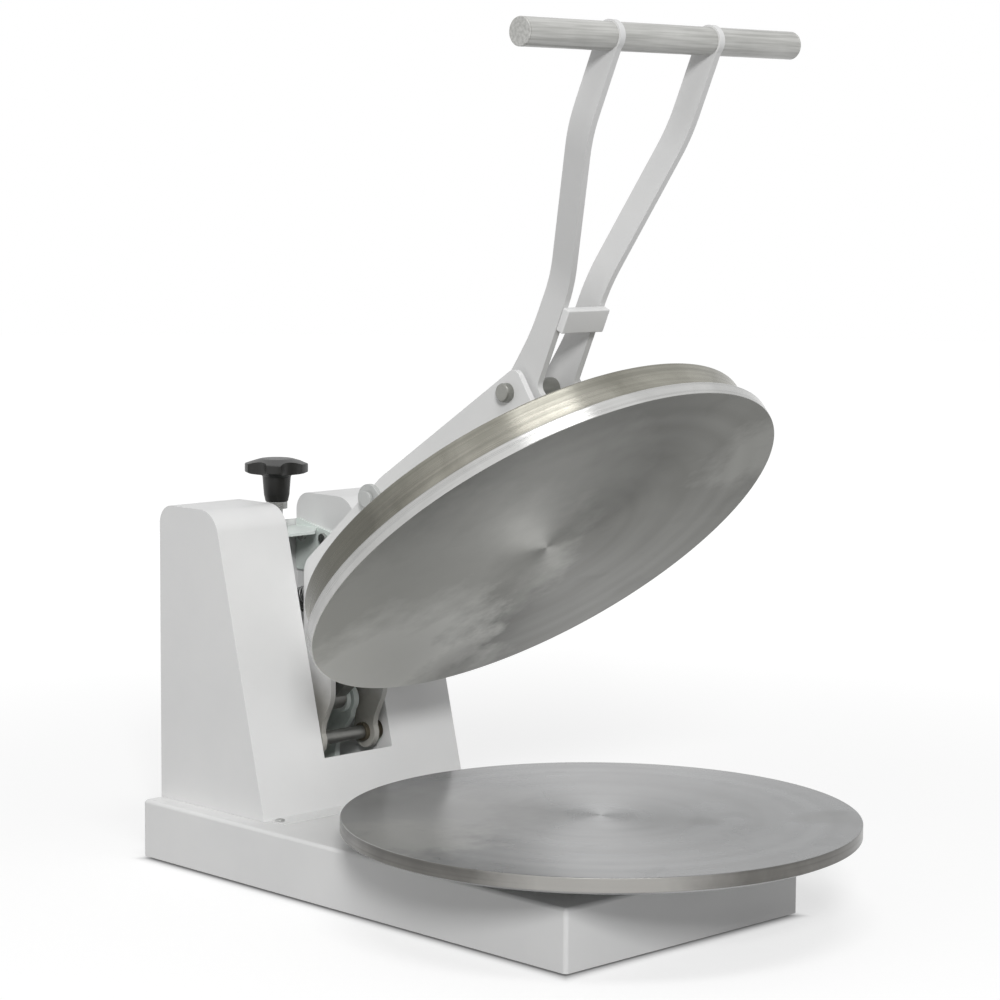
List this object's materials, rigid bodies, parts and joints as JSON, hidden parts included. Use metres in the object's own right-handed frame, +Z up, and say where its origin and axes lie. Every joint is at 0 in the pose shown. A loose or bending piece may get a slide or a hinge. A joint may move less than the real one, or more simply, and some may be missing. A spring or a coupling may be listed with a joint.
{
  "type": "manual pizza dough press",
  "caption": "Manual dough press with a round lower platen on a painted base and a hinged upper platen pulled down by a long forked handle, with a thickness knob at the rear.",
  "frame": {"origin": "on the floor under the middle of the overall width and depth, press open", "axes": "+X to the operator's right, +Y from the operator to the rear, +Z up"},
  "size_m": [0.4572, 0.7008, 0.7822],
  "materials": {
    "paint": "light grey-white powder coat, satin",
    "cast_aluminium": "turned and brushed",
    "zinc_plate": "zinc plated sheet",
    "bronze": "plain bearing bronze",
    "black_steel": "black oxide",
    "black_plastic": "moulded, matte",
    "rubber": "moulded rubber",
    "polished_tube": "satin stainless tube",
    "steel": "bright zinc fasteners and ground pins"
  },
  "bodies": {
    "base": {"base_tray": "paint", "base_bottom_plate": "zinc_plate", "rubber_feet": "rubber", "feet_screws": "steel", "lip_screws": "steel", "platen_pedestal": "cast_aluminium", "pedestal_bolts": "steel", "lower_platen": "cast_aluminium", "tower_shell": "paint", "tower_screws": "steel", "frame_plate_left": "zinc_plate", "frame_plate_right": "zinc_plate", "frame_bolts": "steel", "pivot_shaft": "steel", "shaft_rings": "black_steel", "shaft_spacers": "bronze", "anchor_bracket": "zinc_plate", "anchor_bolts": "steel", "spring_rod": "steel", "spring_rod_nuts": "steel", "return_springs": "steel", "spindle_bracket": "zinc_plate", "bracket_bolts": "steel"},
    "arm": {"arm_plate_left": "paint", "arm_plate_right": "paint", "arm_bushes": "bronze", "arm_top_web": "paint", "arm_lugs": "zinc_plate", "lug_pin": "steel", "spring_pin": "steel", "platen_bracket_left": "zinc_plate", "platen_bracket_right": "zinc_plate", "bracket_arm_bolts": "steel", "bracket_platen_bolts": "steel", "platen_back": "cast_aluminium", "press_disc": "cast_aluminium", "disc_screws": "steel", "handle_pivot_bolt": "steel", "handle_pivot_nut": "steel", "pivot_washers": "steel"},
    "handle": {"handle_leg_left": "paint", "handle_leg_right": "paint", "leg_bushes": "bronze", "leg_spacer": "black_steel", "crank_pin": "steel", "cross_plate": "paint", "grip_tube": "polished_tube", "grip_caps": "polished_tube"},
    "link": {"push_link": "steel", "link_bush": "bronze"},
    "knob": {"adjuster_knob": "black_plastic", "adjuster_spindle": "steel", "spindle_collars": "steel"},
    "nut": {"adjuster_nut": "bronze"},
    "lever": {"eccentric_shaft": "steel", "adjuster_lever": "zinc_plate", "lever_stud": "steel"}
  },
  "joints": [
    {"name": "arm_swing", "type": "hinge", "parent": "base", "child": "arm", "pos_m": [0, 0.2246, 0.1176], "axis": [1, 0, 0], "range_deg": [0, 40], "stiffness_Nm_per_rad": 30, "springref_deg": -137.51, "deforming": ["return_springs"]},
    {"name": "handle_swing", "type": "hinge", "parent": "arm", "child": "handle", "pos_m": [0, -0.03805, 0.46514], "axis": [1, 0, 0], "range_deg": [0, 31.78]},
    {"name": "link_swing", "type": "hinge", "parent": "handle", "child": "link", "pos_m": [0, -0.07945, 0.43709], "axis": [1, 0, 0], "range_deg": [-31.78, 0]},
    {"name": "knob_turn", "type": "hinge", "parent": "base", "child": "knob", "pos_m": [0, 0.3194, 0.36], "axis": [0, 0, 1], "range_deg": [-1080, 1080]},
    {"name": "nut_slide", "type": "slide", "parent": "base", "child": "nut", "axis": [0, 0, 1], "range_m": [-0.00605, 0.00605]},
    {"name": "lever_turn", "type": "hinge", "parent": "base", "child": "lever", "pos_m": [0, 0.23828, 0.15019], "axis": [1, 0, 0], "range_deg": [-4.3, 4.3]}
  ],
  "couplings": [
    {"joint": "handle_swing", "follows": "arm_swing", "ratio": 0.79398},
    {"joint": "link_swing", "follows": "arm_swing", "ratio": -0.79398},
    {"joint": "nut_slide", "follows": "knob_turn", "m_per_rad": -0.00031831},
    {"joint": "lever_turn", "follows": "knob_turn", "ratio": -0.003924}
  ]
}
